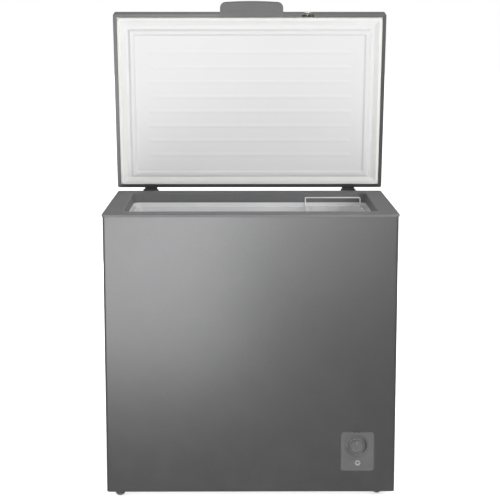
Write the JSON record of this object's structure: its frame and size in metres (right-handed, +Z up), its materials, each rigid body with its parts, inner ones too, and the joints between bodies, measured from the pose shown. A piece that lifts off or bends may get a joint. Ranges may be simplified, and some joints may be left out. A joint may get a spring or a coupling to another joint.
{
  "type": "chest freezer",
  "caption": "Compact chest freezer with an open insulated lid, wire basket, dial control panel and machinery bay",
  "frame": {"origin": "centre of the footprint on the floor", "axes": "+Z up, -Y towards the control panel at the front, lid open against the back"},
  "size_m": [0.812, 0.5959, 1.3718],
  "materials": {
    "graphite_paint": "satin metallic",
    "grey_frame": "fine satin",
    "white_plastic": "satin",
    "liner_metal": "stucco satin",
    "foam": "rigid foam",
    "galvanised": "galvanised",
    "dark_plastic": "matt",
    "panel_plastic": "satin",
    "lamp_ring": "satin",
    "lamp_green": "clear",
    "gasket_white": "soft matt",
    "wire_white": "white coating",
    "black_enamel": "enamel",
    "copper": "drawn tube",
    "zinc": "zinc plated",
    "black_rubber": "matt",
    "chrome": "polished"
  },
  "bodies": {
    "cabinet": {"outer_shell": "graphite_paint", "rear_panel": "galvanised", "bottom_panel": "galvanised", "base_plate": "galvanised", "bay_partition": "galvanised", "top_frame": "grey_frame", "inner_liner": "liner_metal", "cabinet_foam": "foam", "evaporator_coil": "copper", "condenser_coil": "copper", "foot_1": "black_rubber", "foot_2": "black_rubber", "foot_3": "black_rubber", "foot_4": "black_rubber", "base_stud": "black_rubber", "grommet_1": "black_rubber", "grommet_2": "black_rubber", "grommet_3": "black_rubber", "grommet_4": "black_rubber", "compressor_cradle": "black_enamel", "compressor": "black_enamel", "relay_cover": "dark_plastic", "suction_pipe": "copper", "discharge_pipe": "copper", "filter_drier": "copper", "rear_grille": "dark_plastic", "grille_screw_1": "zinc", "grille_screw_2": "zinc", "grille_screw_3": "zinc", "grille_screw_4": "zinc", "cord_gland": "black_rubber", "control_panel": "panel_plastic", "thermostat": "zinc", "lamp_ring": "lamp_ring", "lamp_lens": "lamp_green", "drain_tube": "white_plastic", "hinge_bracket_left": "black_enamel", "hinge_bracket_right": "black_enamel", "hinge_screw_left_1": "zinc", "hinge_screw_left_2": "zinc", "hinge_screw_right_1": "zinc", "hinge_screw_right_2": "zinc", "hinge_pin_left": "zinc", "hinge_pin_right": "zinc"},
    "lid": {"lid_shell": "graphite_paint", "lid_foam": "foam", "lid_liner": "white_plastic", "lid_gasket": "gasket_white", "lid_handle": "grey_frame", "lock_collar": "chrome", "hinge_leaf_left": "black_enamel", "hinge_leaf_right": "black_enamel"},
    "lock": {"lock_barrel": "chrome"},
    "knob": {"thermostat_knob": "panel_plastic"},
    "basket": {"basket": "wire_white"},
    "plug": {"drain_plug": "white_plastic"}
  },
  "joints": [
    {"name": "lid_hinge", "type": "hinge", "parent": "cabinet", "child": "lid", "pos_m": [0, 0.24441, 0.7975], "axis": [-1, 0, 0], "range_deg": [-81.5, 4]},
    {"name": "lock_turn", "type": "hinge", "parent": "lid", "child": "lock", "pos_m": [0.173, 0.19692, 1.33832], "axis": [0, -0.1478, 0.989], "range_deg": [0, 90]},
    {"name": "thermostat_turn", "type": "hinge", "parent": "cabinet", "child": "knob", "pos_m": [0.2935, -0.28898, 0.151], "axis": [0, -1, 0], "range_deg": [-150, 150]},
    {"name": "basket_lift", "type": "slide", "parent": "cabinet", "child": "basket", "axis": [0, 0, 1], "range_m": [0, 0.26]},
    {"name": "drain_plug_pull", "type": "slide", "parent": "cabinet", "child": "plug", "axis": [0, 0, 1], "range_m": [0, 0.03]}
  ]
}
